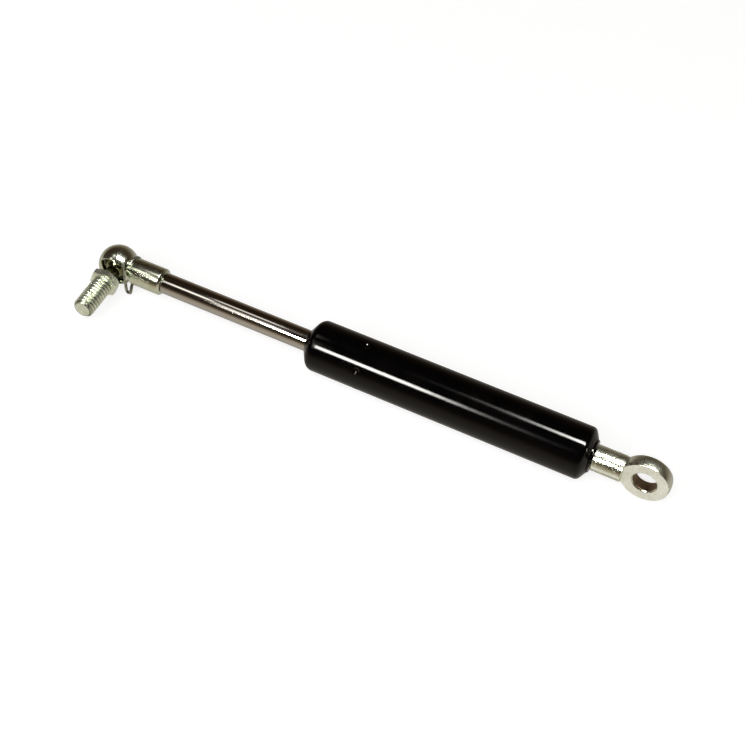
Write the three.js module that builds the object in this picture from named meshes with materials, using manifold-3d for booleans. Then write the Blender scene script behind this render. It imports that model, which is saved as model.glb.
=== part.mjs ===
// Gas strut stay, drawn fully extended. Millimetres, +Z up.
// The strut lies along X. The origin is the centre of the eye's hole, and the ball is at -X.
// A "station" is a distance from the eye's centre towards the ball, so station t is at x = -t.
// The eye's hole runs along Y and the ball socket opens towards -Y.
import * as THREE from "three";
import { mergeVertices } from "three/addons/utils/BufferGeometryUtils.js";
import Module from "manifold-3d";

const wasm = await Module();
wasm.setup();

// ---- driving dimensions -------------------------------------------------------------------
const LENGTH = 209.5; // eye centre to ball centre, fully extended
const ROUND = 40; // facets round the large turned parts
const SMALL_ROUND = 28; // facets round the small turned parts

// Pressure tube: 3/4 in outside, both ends rolled inwards.
const TUBE_R = 9.525;
const TUBE_WALL = 1.225;
const BORE_R = TUBE_R - TUBE_WALL;
const FRONT_ROLL = { station: 123.4, radius: 3.0, turn: 58, lip: 4.5 };
const REAR_ROLL = { station: 22.7, radius: 2.2, turn: 60, lip: 6.2 };
const DENT = { station: 105.3, count: 6, ball: 2, depth: 0.45 };

// Rod: 5/16 in, riveted over the piston pack, threaded into the ball socket.
const ROD_R = 3.97;
const SPIGOT_R = 2.45;
const ROD_SHOULDER = 106.7;
const ROD_END = 189.0;
const RIVET = { start: 93.2, end: 94.8, r: 3.6 };
const STUD_R = 2.9; // threaded ends of the rod and of the end plug
const TAPPED_R = 3.1;
const SLIDE_GAP = 0.1;
const FIT_R = BORE_R - 0.15; // outside of the parts pressed into the tube

// Seal and guide pack at the rod end.
const SUPPORT = { start: 106.7, end: 108.2, bore: 4.4 };
const SEAL = { start: 108.5, end: 113.4 };
const GUIDE = { start: 113.7, end: 121.4, bore: 4.9, groove: 6.65 };
const BUSH = { start: 114.2, end: 120.9, r: 4.8 };
const WIPER = { start: 121.85, end: 123.5, r: 6.3 };
const CLOSING = { start: 121.7, seat: 123.7, bore: 4.4 };
const O_RING = { major: 7.45, wire: 0.7, grooveHalf: 1.05 };

// Piston pack on the rod's inner end.
const STOP_COLLAR = { start: 104.1, end: 106.5, r: 7.0 };
const PISTON = {
  start: 97.6,
  end: 103.9,
  r: 7.9,
  groove: 6.6,
  grooveStart: 99.6,
  grooveEnd: 102.4,
};
const PISTON_RING = { start: 99.8, end: 102.2, inner: 6.75, outer: BORE_R - SLIDE_GAP, split: 0.7 };
const DISC = { start: 96.5, end: 97.4, r: 7.4 };
const WASHER = { start: 95.1, end: 96.3, r: 5.8 };
const ORIFICE = { r: 0.6, pitchR: 5.2, count: 3 };

// End plug and eyelet.
const PLUG = { inner: 30.0, groove: 6.7, oRing: 26.7, bossR: 5.95, bossEnd: 18.9, studEnd: 12.2 };
const EYE = { ball: 8.75, thick: 4.8, step: 8.1, hole: 4.15, chamfer: 0.45 };
const EYE_SHANK = { r: 4.7, end: 18.6, fillet: 2.0, tapEnd: 11.6 };

// Angle ball joint.
const HEAD_R = 7.45;
const MOUTH = { depth: 4.35, r: 5.75, flareDepth: 3.35 }; // depths are from the ball's centre
const CUP_R = 5.1;
const SOCKET_SHANK = { r: 5.1, end: 189.3, chamfer: 0.8, tapEnd: 200.8 };
const NECK = { start: 202.0, r: 4.3 };
const RING = { drop: 1.6, major: 5.38, wire: 0.45, groove: 6.0, grooveHalf: 0.6 };
const CLIP = {
  wire: 0.58,
  legStation: 204.8,
  legY: -3.5,
  wrapStation: 202.95,
  wrapR: 5.0,
  slot: 0.9,
};
const BALL_R = 5;
const BALL_NECK = { r: 2.6, end: 6.5, flare: 2.9 };
const HEX = { inner: 9.0, outer: 11.8, flats: 10, turn: -8 };
const THREAD = { r: 3.95, depth: 0.8, pitch: 1.411, end: 26.2, chamfer: 0.8, shoulder: 0.6 };
const STUD_TILT = 3.5; // degrees the stud leans towards the eye

// ---- materials ----------------------------------------------------------------------------
const finish = (color, roughness, metalness) =>
  new THREE.MeshStandardMaterial({ color, roughness, metalness });
const BLACK_PAINT = finish(0x0c0c0d, 0.25, 0.0);
const CHROME = finish(0xd9dadb, 0.08, 1.0);
const ZINC = finish(0xb8bba6, 0.3, 1.0);
const STEEL = finish(0x9c9fa2, 0.4, 1.0);
const SPRING_STEEL = finish(0x7d8078, 0.3, 1.0);
const BRASS = finish(0xb9964e, 0.35, 1.0);
const RUBBER = finish(0x1b1b1c, 0.7, 0.0);
const BEARING = finish(0x6f6a5d, 0.6, 0.2);
const NYLON = finish(0xcfc9b4, 0.55, 0.0);

// ---- helpers ------------------------------------------------------------------------------
const radians = THREE.MathUtils.degToRad;
const degrees = THREE.MathUtils.radToDeg;

// Profile points on an arc in an (along, radius) plane.
function arc(along, r, radius, from, to, steps) {
  const points = [];
  for (let i = 0; i <= steps; i++) {
    const a = radians(from + ((to - from) * i) / steps);
    points.push([along + radius * Math.cos(a), Math.max(r + radius * Math.sin(a), 0)]);
  }
  return points;
}

// A solid turned about Y from [y, radius] pairs that start and end on the axis.
function turnedOnY(profile, facets = ROUND) {
  const points = profile.map(([y, r]) => new THREE.Vector2(r, y));
  if (THREE.ShapeUtils.area(points) < 0) points.reverse();
  return new THREE.LatheGeometry(points, facets);
}

// The same about the strut's axis, from [station, radius] pairs.
const turned = (profile, facets) => turnedOnY(profile, facets).rotateZ(Math.PI / 2);

// A turned ring: its profile closes on itself.
const turnedRing = (profile, facets) => turned([...profile, profile[0]], facets);

// A plain washer between two stations.
const washer = (start, end, inner, outer, facets) =>
  turnedRing([[start, inner], [start, outer], [end, outer], [end, inner]], facets);

// A ring of round section about the strut's axis.
const ringOfWire = (station, major, wire) => turnedRing(arc(station, major, wire, 0, 315, 7));

// A plain cylinder along X, Y or Z, centred on a point.
function cylinder(axis, r, length, centre, facets = SMALL_ROUND) {
  const g = new THREE.CylinderGeometry(r, r, length, facets);
  if (axis === "x") g.rotateZ(Math.PI / 2);
  if (axis === "z") g.rotateX(Math.PI / 2);
  return g.translate(...centre);
}

function toSolid(geometry) {
  const bare = geometry.clone();
  bare.deleteAttribute("normal");
  bare.deleteAttribute("uv");
  const merged = mergeVertices(bare);
  return new wasm.Manifold(
    new wasm.Mesh({
      numProp: 3,
      vertProperties: merged.attributes.position.array,
      triVerts: new Uint32Array(merged.index.array),
    }),
  );
}

function toGeometry(solid) {
  const mesh = solid.getMesh();
  const g = new THREE.BufferGeometry();
  const positions = new Float32Array(mesh.vertProperties);
  g.setAttribute("position", new THREE.BufferAttribute(positions, 3));
  g.setIndex(new THREE.BufferAttribute(new Uint32Array(mesh.triVerts), 1));
  return g;
}

const cutAll = (solid, cutters) =>
  cutters.reduce((left, cutter) => left.subtract(toSolid(cutter)), solid);

function part(name, geometry, material) {
  const flat = geometry.index ? geometry.toNonIndexed() : geometry;
  flat.computeVertexNormals();
  const mesh = new THREE.Mesh(flat, material);
  mesh.name = name;
  return mesh;
}

// ---- pressure tube and the pack at its rod end --------------------------------------------

// The rolled end as seen in profile: a corner arc, then a straight cone down to the lip.
function rolledEnd(roll, side, radius) {
  const corner = arc(roll.station, TUBE_R - roll.radius, radius, 90, 90 - side * roll.turn, 5);
  const [t, r] = corner[corner.length - 1];
  const coneLength = (r - roll.lip) / Math.tan(radians(roll.turn));
  return [...corner, [t + side * coneLength, roll.lip]];
}

function tubeShell() {
  const outerRear = rolledEnd(REAR_ROLL, -1, REAR_ROLL.radius);
  const outerFront = rolledEnd(FRONT_ROLL, 1, FRONT_ROLL.radius);
  const innerFront = rolledEnd(FRONT_ROLL, 1, FRONT_ROLL.radius - TUBE_WALL);
  const innerRear = rolledEnd(REAR_ROLL, -1, REAR_ROLL.radius - TUBE_WALL);
  return turnedRing([
    ...outerRear.reverse(),
    ...outerFront,
    ...innerFront.reverse(),
    ...innerRear,
  ]);
}

// Six staking dents in a row round the tube hold the seal pack: hollow outside, raised inside.
function dentBalls(wallR) {
  const reach = wallR + DENT.ball - DENT.depth;
  return Array.from({ length: DENT.count }, (_, i) => {
    const a = (2 * Math.PI * (i + 0.5)) / DENT.count;
    const ball = new THREE.SphereGeometry(DENT.ball, 14, 10);
    return ball.translate(-DENT.station, reach * Math.cos(a), reach * Math.sin(a));
  });
}

function pressureTube() {
  const midWall = toSolid(cylinder("x", TUBE_R - 0.3, 20, [-DENT.station, 0, 0], ROUND));
  const bumps = dentBalls(BORE_R).map((ball) => toSolid(ball).intersect(midWall));
  const shell = bumps.reduce((all, bump) => all.add(bump), toSolid(tubeShell()));
  return part("pressure_tube", toGeometry(cutAll(shell, dentBalls(TUBE_R))), BLACK_PAINT);
}

function closingRing() {
  return part("closing_ring", turnedRing([
    [CLOSING.start, WIPER.r + SLIDE_GAP],
    [CLOSING.start, FIT_R],
    [123.3, FIT_R],
    [124.2, 7.85],
    [124.75, 7.3],
    [126.2, 4.95],
    [126.2, CLOSING.bore],
    [CLOSING.seat, CLOSING.bore],
    [CLOSING.seat, WIPER.r + SLIDE_GAP],
  ]), STEEL);
}

function wiperRing() {
  return part("wiper_ring", turnedRing([
    [WIPER.start, ROD_R + 0.35],
    [WIPER.start, WIPER.r],
    [WIPER.end, WIPER.r],
    [WIPER.end, ROD_R + SLIDE_GAP],
    [WIPER.end - 0.5, ROD_R + SLIDE_GAP],
  ]), RUBBER);
}

// Outline of a ring with a square groove round its outside for an O-ring.
function groovedOutline(start, end, outer, groove, middle) {
  const half = O_RING.grooveHalf;
  return [
    [start, outer],
    [middle - half, outer],
    [middle - half, groove],
    [middle + half, groove],
    [middle + half, outer],
    [end, outer],
  ];
}

const GUIDE_O_RING_STATION = (GUIDE.start + GUIDE.end) / 2;

function rodGuide() {
  const outline = groovedOutline(GUIDE.start, GUIDE.end, FIT_R, GUIDE.groove, GUIDE_O_RING_STATION);
  const profile = [[GUIDE.start, GUIDE.bore], ...outline, [GUIDE.end, GUIDE.bore]];
  return part("rod_guide", turnedRing(profile), BRASS);
}

const guideORing = () =>
  part("guide_o_ring", ringOfWire(GUIDE_O_RING_STATION, O_RING.major, O_RING.wire), RUBBER);

const guideBush = () =>
  part("guide_bush", washer(BUSH.start, BUSH.end, ROD_R + SLIDE_GAP, BUSH.r), BEARING);

// Lip seal, its groove open towards the gas.
function rodSeal() {
  return part("rod_seal", turnedRing([
    [SEAL.start, ROD_R + SLIDE_GAP],
    [SEAL.start, 5.1],
    [SEAL.start + 2.7, 5.6],
    [SEAL.start + 2.7, 6.7],
    [SEAL.start, 7.1],
    [SEAL.start, FIT_R],
    [SEAL.end, FIT_R],
    [SEAL.end, ROD_R + 0.35],
    [SEAL.start + 1.0, ROD_R + 0.35],
    [SEAL.start + 0.6, ROD_R + SLIDE_GAP],
  ]), RUBBER);
}

const sealSupportWasher = () =>
  part("seal_support_washer", washer(SUPPORT.start, SUPPORT.end, SUPPORT.bore, FIT_R), STEEL);

// ---- rod and piston pack ------------------------------------------------------------------

function pistonRod() {
  return part("piston_rod", turned([
    [RIVET.start, 0],
    [RIVET.start, RIVET.r - 1.0],
    [RIVET.start + 0.7, RIVET.r],
    [RIVET.end, RIVET.r],
    [RIVET.end, SPIGOT_R],
    [ROD_SHOULDER, SPIGOT_R],
    [ROD_SHOULDER, ROD_R - 0.3],
    [ROD_SHOULDER + 0.3, ROD_R],
    [ROD_END - 0.4, ROD_R],
    [ROD_END, ROD_R - 0.4],
    [ROD_END, STUD_R],
    [SOCKET_SHANK.tapEnd - 1.6, STUD_R],
    [SOCKET_SHANK.tapEnd - 1.0, STUD_R - 0.6],
    [SOCKET_SHANK.tapEnd - 1.0, 0],
  ]), CHROME);
}

function stopCollar() {
  const { start, end, r } = STOP_COLLAR;
  return part("stop_collar", washer(start, end, SPIGOT_R + SLIDE_GAP, r), STEEL);
}

const orificeHoles = (start, end) =>
  Array.from({ length: ORIFICE.count }, (_, i) => {
    const a = (2 * Math.PI * i) / ORIFICE.count;
    const y = ORIFICE.pitchR * Math.cos(a);
    const z = ORIFICE.pitchR * Math.sin(a);
    return cylinder("x", ORIFICE.r, end - start + 2, [-(start + end) / 2, y, z], 12);
  });

function pistonBody() {
  const blank = turnedRing([
    [PISTON.start, SPIGOT_R + SLIDE_GAP],
    [PISTON.start, PISTON.r],
    [PISTON.grooveStart, PISTON.r],
    [PISTON.grooveStart, PISTON.groove],
    [PISTON.grooveEnd, PISTON.groove],
    [PISTON.grooveEnd, PISTON.r],
    [PISTON.end, PISTON.r],
    [PISTON.end, SPIGOT_R + SLIDE_GAP],
  ]);
  const drilled = cutAll(toSolid(blank), orificeHoles(PISTON.start, PISTON.end));
  return part("piston", toGeometry(drilled), BRASS);
}

// The plastic ring that slides in the tube, split so that it can be sprung into its groove.
function pistonRing() {
  const { start, end, inner, outer, split } = PISTON_RING;
  const whole = toSolid(washer(start, end, inner, outer));
  const saw = new THREE.BoxGeometry(end - start + 2, split, 4);
  saw.translate(-(start + end) / 2, 0, (inner + outer) / 2);
  return part("piston_ring", toGeometry(cutAll(whole, [saw])), NYLON);
}

function labyrinthDisc() {
  const blank = toSolid(washer(DISC.start, DISC.end, SPIGOT_R + SLIDE_GAP, DISC.r));
  const drilled = cutAll(blank, orificeHoles(DISC.start, DISC.end));
  return part("labyrinth_disc", toGeometry(drilled), STEEL);
}

const pistonWasher = () =>
  part("piston_washer", washer(WASHER.start, WASHER.end, SPIGOT_R + SLIDE_GAP, WASHER.r), STEEL);

// ---- end plug and eyelet ------------------------------------------------------------------

// A plug that seals the tube's rear end. Its boss shows inside the rolled lip and carries a stud.
function endPlug() {
  const outline = groovedOutline(23.2, PLUG.inner - 0.5, FIT_R, PLUG.groove, PLUG.oRing);
  return part("end_plug", turned([
    [PLUG.studEnd, 0],
    [PLUG.studEnd, STUD_R - 0.5],
    [PLUG.studEnd + 0.5, STUD_R],
    [PLUG.bossEnd, STUD_R],
    [PLUG.bossEnd, PLUG.bossR - 0.3],
    [PLUG.bossEnd + 0.3, PLUG.bossR],
    [21.1, PLUG.bossR],
    [21.9, 7.5],
    [22.35, 7.75],
    ...outline,
    [PLUG.inner, FIT_R - 0.5],
    [PLUG.inner, 0],
  ]), BLACK_PAINT);
}

const endPlugORing = () =>
  part("end_plug_o_ring", ringOfWire(PLUG.oRing, O_RING.major, O_RING.wire), RUBBER);

// The eye is a turned ball on a shank. Both sides are milled flat up to a step on the shank.
function eyeBlank() {
  const reach = EYE.ball + EYE_SHANK.fillet;
  const filletR = EYE_SHANK.r + EYE_SHANK.fillet;
  const filletStation = Math.sqrt(reach * reach - filletR * filletR);
  const touch = degrees(Math.atan2(filletR, filletStation));
  return toSolid(turned([
    ...arc(0, 0, EYE.ball, 180, touch, 14),
    ...arc(filletStation, filletR, EYE_SHANK.fillet, 180 + touch, 270, 5).slice(1),
    [EYE_SHANK.end - 0.4, EYE_SHANK.r],
    [EYE_SHANK.end, EYE_SHANK.r - 0.4],
    [EYE_SHANK.end, TAPPED_R],
    [EYE_SHANK.tapEnd, TAPPED_R],
    [EYE_SHANK.tapEnd - 1.2, 0],
  ]));
}

// The hole's cutter, opening out at both ends.
function eyeHoleCutter() {
  const half = EYE.thick / 2;
  const wide = EYE.hole + EYE.chamfer;
  return turnedOnY([
    [-half - 1, 0],
    [-half - 1, wide + 1],
    [-half, wide],
    [-half + EYE.chamfer, EYE.hole],
    [half - EYE.chamfer, EYE.hole],
    [half, wide],
    [half + 1, wide + 1],
    [half + 1, 0],
  ]);
}

function eyelet() {
  const cutY = EYE.thick / 2 + 5;
  const cutLength = 20;
  const mills = [-cutY, cutY].map((y) =>
    new THREE.BoxGeometry(cutLength, 10, 40).translate(cutLength / 2 - EYE.step, y, 0),
  );
  const eye = cutAll(eyeBlank(), [...mills, eyeHoleCutter()]);
  return part("eyelet", toGeometry(eye), ZINC);
}

// ---- angle ball joint ---------------------------------------------------------------------

// The head and shank as one turned body, with a neck groove that seats the safety clip.
function socketBlank() {
  const neckAngle = 180 - degrees(Math.asin(NECK.r / HEAD_R));
  return toSolid(turned([
    [SOCKET_SHANK.end, 0],
    [SOCKET_SHANK.end, SOCKET_SHANK.r - SOCKET_SHANK.chamfer],
    [SOCKET_SHANK.end + SOCKET_SHANK.chamfer, SOCKET_SHANK.r],
    [NECK.start - 0.3, SOCKET_SHANK.r],
    [NECK.start, SOCKET_SHANK.r - 0.3],
    [NECK.start, NECK.r],
    ...arc(LENGTH, 0, HEAD_R, neckAngle, 0, 14),
  ]));
}

// The cup: a half ball, a straight bore, a groove for the retaining ring and a flared mouth.
function cupCutter() {
  const grooveTop = -RING.drop + RING.grooveHalf;
  const grooveBottom = -RING.drop - RING.grooveHalf;
  const cup = turnedOnY([
    ...arc(0, 0, CUP_R, 0, 90, 7),
    [grooveTop, CUP_R],
    [grooveTop, RING.groove],
    [grooveBottom, RING.groove],
    [grooveBottom, CUP_R],
    [-MOUTH.flareDepth, CUP_R],
    [-MOUTH.depth, MOUTH.r],
    [-MOUTH.depth - 1, MOUTH.r + 0.65],
    [-MOUTH.depth - 1, 0],
  ], 40);
  return cup.translate(-LENGTH, 0, 0);
}

function ballSocket() {
  const mouth = new THREE.BoxGeometry(4 * HEAD_R, 10, 4 * HEAD_R);
  mouth.translate(-LENGTH - HEAD_R, -MOUTH.depth - 5, 0);
  const slot = new THREE.BoxGeometry(2 * CLIP.slot, 10, 4 * HEAD_R);
  slot.translate(-CLIP.legStation, CLIP.legY + CLIP.slot - 5, 0);
  const tapLength = SOCKET_SHANK.tapEnd - SOCKET_SHANK.end + 1;
  const tap = cylinder("x", TAPPED_R, tapLength, [-SOCKET_SHANK.tapEnd + tapLength / 2, 0, 0]);
  const cuts = [mouth, slot, tap, cupCutter()];
  return part("ball_socket", toGeometry(cutAll(socketBlank(), cuts)), ZINC);
}

// Path of the safety clip: down through the slot, round the pull loop, and round the neck.
function clipPath() {
  const leg = -CLIP.legStation;
  const wrap = -CLIP.wrapStation;
  const points = [
    [leg, CLIP.legY, 6.3],
    [leg, CLIP.legY, 3],
    [leg, CLIP.legY, -3],
    [leg, CLIP.legY, -6.3],
    [leg + 0.05, CLIP.legY, -7.8],
    [leg + 0.3, CLIP.legY, -8.8],
    [leg + 0.95, CLIP.legY, -9.2],
    [wrap - 0.2, CLIP.legY, -8.9],
    [wrap + 0.15, CLIP.legY, -8.0],
    [wrap + 0.15, -3.0, -7.0],
    [wrap, -2.2, -6.1],
  ];
  for (let a = -2; a <= 212; a += 13) {
    points.push([wrap, CLIP.wrapR * Math.sin(radians(a)), -CLIP.wrapR * Math.cos(radians(a))]);
  }
  const bends = points.map(([x, y, z]) => new THREE.Vector3(x, y, z));
  return new THREE.CatmullRomCurve3(bends, false, "centripetal");
}

function circle(r, facets) {
  const corners = Array.from({ length: facets }, (_, i) => {
    const a = (2 * Math.PI * i) / facets;
    return new THREE.Vector2(r * Math.cos(a), r * Math.sin(a));
  });
  return new THREE.Shape(corners);
}

function safetyClip() {
  const wire = new THREE.ExtrudeGeometry(circle(CLIP.wire, 8), {
    steps: 70,
    bevelEnabled: false,
    extrudePath: clipPath(),
  });
  return part("safety_clip", wire, SPRING_STEEL);
}

// Spring ring under the ball's equator, about the mouth's axis. Its origin is the ball's centre.
function retainingRing() {
  const section = arc(-RING.drop, RING.major, RING.wire, 0, 315, 7);
  return part("ball_retaining_ring", turnedOnY([...section, section[0]], 40), SPRING_STEEL);
}

// One thread profile down the stud: crest, flank, root, flank.
const THREAD_STEPS = [0, 0.5, 1, 0.5].map((deep) => THREAD.r - deep * THREAD.depth);
const THREAD_COLUMNS = 24;

// A closed helical screw about Y. Row j + 4 of column 0 carries on from row j of the last column,
// so the sheet climbs one pitch per turn. Each end is closed by a fan to a point on the axis.
function screw(from, to) {
  const climb = THREAD_STEPS.length;
  const last = THREAD_COLUMNS - 1;
  const rows = Math.ceil((to - from) / THREAD.pitch + 3) * climb;
  const bottom = from - 1.5 * THREAD.pitch;
  const positions = [];
  const faces = [];
  for (let row = 0; row <= rows; row++) {
    for (let column = 0; column <= last; column++) {
      const turn = column / THREAD_COLUMNS;
      const r = THREAD_STEPS[row % climb];
      const y = bottom + THREAD.pitch * (row / climb + turn);
      positions.push(r * Math.sin(2 * Math.PI * turn), y, r * Math.cos(2 * Math.PI * turn));
    }
  }
  const at = (row, column) => row * THREAD_COLUMNS + column;
  const quad = (a, b, c, d) => faces.push(a, b, c, a, c, d);
  for (let row = 0; row < rows; row++) {
    for (let column = 0; column < last; column++) {
      quad(at(row, column), at(row, column + 1), at(row + 1, column + 1), at(row + 1, column));
    }
  }
  for (let row = 0; row + climb < rows; row++) {
    quad(at(row, last), at(row + climb, 0), at(row + climb + 1, 0), at(row + 1, last));
  }
  const columns = Array.from({ length: THREAD_COLUMNS }, (_, i) => i);
  const steps = Array.from({ length: climb }, (_, i) => i);
  const lowLoop = [...columns.map((c) => at(0, c)), ...steps.map((s) => at(climb - s, 0))];
  const highLoop = [
    ...columns.map((c) => at(rows, last - c)),
    ...steps.map((s) => at(rows - climb + s, last)),
  ];
  closeWithFan(positions, faces, lowLoop, bottom - 2 * THREAD.pitch);
  closeWithFan(positions, faces, highLoop, to + 5 * THREAD.pitch);
  const g = new THREE.BufferGeometry();
  g.setAttribute("position", new THREE.Float32BufferAttribute(positions, 3));
  return g.setIndex(faces);
}

function closeWithFan(positions, faces, loop, apexY) {
  const apex = positions.length / 3;
  positions.push(0, apexY, 0);
  loop.forEach((corner, i) => faces.push(apex, loop[(i + 1) % loop.length], corner));
}

// The threaded shank, its tip chamfered, with a plain shoulder next to the collar.
function threadedShank() {
  const tip = -THREAD.end;
  const root = -HEX.outer + 0.5;
  const outline = turnedOnY([
    [tip, 0],
    [tip, THREAD.r - THREAD.chamfer],
    [tip + THREAD.chamfer, THREAD.r + 0.02],
    [root, THREAD.r + 0.02],
    [root, 0],
  ]);
  const middle = (root - HEX.outer - THREAD.shoulder) / 2;
  const shoulder = cylinder("y", THREAD.r + 0.02, THREAD.shoulder + 0.5, [0, middle, 0]);
  return toSolid(screw(tip, root)).intersect(toSolid(outline)).add(toSolid(shoulder));
}

// The spanner collar: a hexagon with its corners turned off.
function hexCollar() {
  const acrossCorners = HEX.flats / Math.cos(Math.PI / 6);
  const thick = HEX.outer - HEX.inner;
  const middle = -(HEX.outer + HEX.inner) / 2;
  const prism = new THREE.CylinderGeometry(acrossCorners / 2, acrossCorners / 2, thick, 6);
  prism.rotateY(radians(90 + HEX.turn)).translate(0, middle, 0);
  const turnedR = HEX.flats / 2 + 0.1;
  const corners = turnedOnY([
    [-HEX.outer - 0.01, 0],
    [-HEX.outer - 0.01, turnedR],
    [-HEX.outer + 0.4, acrossCorners / 2 + 0.01],
    [-HEX.inner - 0.4, acrossCorners / 2 + 0.01],
    [-HEX.inner + 0.01, turnedR],
    [-HEX.inner + 0.01, 0],
  ]);
  return toSolid(prism).intersect(toSolid(corners));
}

// Ball, neck, spanner collar and thread in one piece. Its origin is the ball's centre, and it
// hangs from its own hinge so that it can lean towards the eye.
function ballStud() {
  const neckAngle = 180 - degrees(Math.asin(BALL_NECK.r / BALL_R));
  const ballAndNeck = turnedOnY([
    ...arc(0, 0, BALL_R, 0, neckAngle, 12),
    [-BALL_NECK.end, BALL_NECK.r],
    [-HEX.inner, BALL_NECK.flare],
    [-HEX.inner - 0.5, BALL_NECK.flare],
    [-HEX.inner - 0.5, 0],
  ], 36);
  const whole = toSolid(ballAndNeck).add(hexCollar()).add(threadedShank());
  const stud = part("ball_stud", toGeometry(whole), ZINC);
  stud.rotation.z = radians(STUD_TILT);
  return stud;
}

// ---- assembly -----------------------------------------------------------------------------
function group(name, ...children) {
  const g = new THREE.Group();
  g.name = name;
  return g.add(...children);
}

const ballJoint = group("ball_joint_group", retainingRing(), ballStud());
ballJoint.position.x = -LENGTH;

const rodSide = group(
  "rod_group",
  pistonRod(),
  stopCollar(),
  pistonBody(),
  pistonRing(),
  labyrinthDisc(),
  pistonWasher(),
  ballSocket(),
  safetyClip(),
  ballJoint,
);

const tubeSide = group(
  "tube_group",
  pressureTube(),
  sealSupportWasher(),
  rodSeal(),
  rodGuide(),
  guideORing(),
  guideBush(),
  wiperRing(),
  closingRing(),
  endPlug(),
  endPlugORing(),
  eyelet(),
);

export default group("gas_strut_stay", tubeSide, rodSide);
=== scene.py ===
"""Looks of the gas strut stay: fine meshes, procedural materials, studio and camera.

Lengths are millimetres in the tables below and metres in Blender. The strut lies along X with the
origin at the eye's centre, and a station t is a distance from the eye towards the ball, x = -t.
"""

import math

import bmesh
import bpy
import numpy as np
from mathutils import Matrix, Vector


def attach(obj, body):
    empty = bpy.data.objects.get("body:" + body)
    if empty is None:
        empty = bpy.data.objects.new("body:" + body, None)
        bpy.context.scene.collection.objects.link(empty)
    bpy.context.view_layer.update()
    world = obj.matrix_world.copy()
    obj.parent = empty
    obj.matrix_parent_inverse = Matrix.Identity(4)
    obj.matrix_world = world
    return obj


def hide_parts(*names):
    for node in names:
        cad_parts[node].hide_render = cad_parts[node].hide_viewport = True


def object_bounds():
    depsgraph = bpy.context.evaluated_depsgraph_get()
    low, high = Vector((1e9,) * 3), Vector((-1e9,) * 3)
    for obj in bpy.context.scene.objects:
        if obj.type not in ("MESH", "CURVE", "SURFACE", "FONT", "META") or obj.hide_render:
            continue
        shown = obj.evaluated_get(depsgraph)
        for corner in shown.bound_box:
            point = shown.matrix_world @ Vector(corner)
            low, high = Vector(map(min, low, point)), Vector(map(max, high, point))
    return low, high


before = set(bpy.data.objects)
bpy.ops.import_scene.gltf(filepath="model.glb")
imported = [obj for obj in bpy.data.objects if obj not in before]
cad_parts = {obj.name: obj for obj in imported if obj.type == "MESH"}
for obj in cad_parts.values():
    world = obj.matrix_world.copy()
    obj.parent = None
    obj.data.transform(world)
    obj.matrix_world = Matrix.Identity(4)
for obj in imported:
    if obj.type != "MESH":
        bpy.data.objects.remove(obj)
CAD_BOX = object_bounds()
MM = 0.001

# ---- driving dimensions, as in the CAD part -------------------------------------------------
LENGTH = 209.5
TUBE_R, BORE_R = 9.525, 8.3
FRONT_ROLL = {"station": 123.4, "radius": 3.0, "turn": 58.0, "lip": 4.5}
REAR_ROLL = {"station": 22.7, "radius": 2.2, "turn": 60.0, "lip": 6.2}
DENT = {"station": 105.3, "count": 6, "ball": 2.0, "depth": 0.45, "soft": 0.003}
ROD_R = 3.97
EYE = {"ball": 8.75, "half": 2.4, "step": 8.1, "hole": 4.15, "chamfer": 0.45}
EYE_SHANK = {"r": 4.7, "end": 18.6, "fillet": 2.0, "tap_end": 11.6}
HEAD_R, CUP_R = 7.45, 5.1
MOUTH = {"depth": 4.35, "r": 5.75, "flare_depth": 3.35}
RING = {"drop": 1.6, "major": 5.38, "wire": 0.45, "groove": 6.0, "half": 0.6}
NECK = {"start": 202.0, "r": 4.3}
SOCKET_SHANK = {"r": 5.1, "end": 189.3, "chamfer": 0.8, "tap_end": 200.8}
CLIP = {"wire": 0.58, "leg": 204.8, "leg_y": -3.5, "wrap": 202.95, "wrap_r": 5.0, "slot": 0.9}
BALL_R = 5.0
BALL_NECK = {"r": 2.6, "end": 6.5, "flare": 2.9}
HEX = {"inner": 9.0, "outer": 11.8, "flats": 10.0, "turn": -8.0}
THREAD = {"r": 3.95, "depth": 0.8, "pitch": 1.411, "end": 26.2, "chamfer": 0.8, "shoulder": 0.6}
HEX_EASE, HEX_BEVEL = 0.035, 0.45  # half the turn of an eased corner in radians, depth of the bevel
STUD_TILT = 3.5
STUD_R, TAPPED_R = 2.9, 3.1


# ---- profiles -------------------------------------------------------------------------------
def arc(along, r, radius, start, end, steps):
    """Points of an arc in an (along, radius) plane."""
    angles = np.radians(np.linspace(start, end, steps + 1))
    return [(along + radius * math.cos(a), max(r + radius * math.sin(a), 0.0)) for a in angles]


def eased(points, steps=4):
    """Rounds every point that carries a third value, the distance its corner is cut back."""
    out = []
    for i, point in enumerate(points):
        if len(point) == 2:
            out.append(point)
            continue
        here = np.array(point[:2])
        before = np.array(points[i - 1][:2]) - here
        after = np.array(points[(i + 1) % len(points)][:2]) - here
        a = here + before / np.linalg.norm(before) * point[2]
        b = here + after / np.linalg.norm(after) * point[2]
        for u in np.linspace(0, 1, steps + 1):
            out.append(tuple((1 - u) ** 2 * a + 2 * u * (1 - u) * here + u * u * b))
    return out


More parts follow.
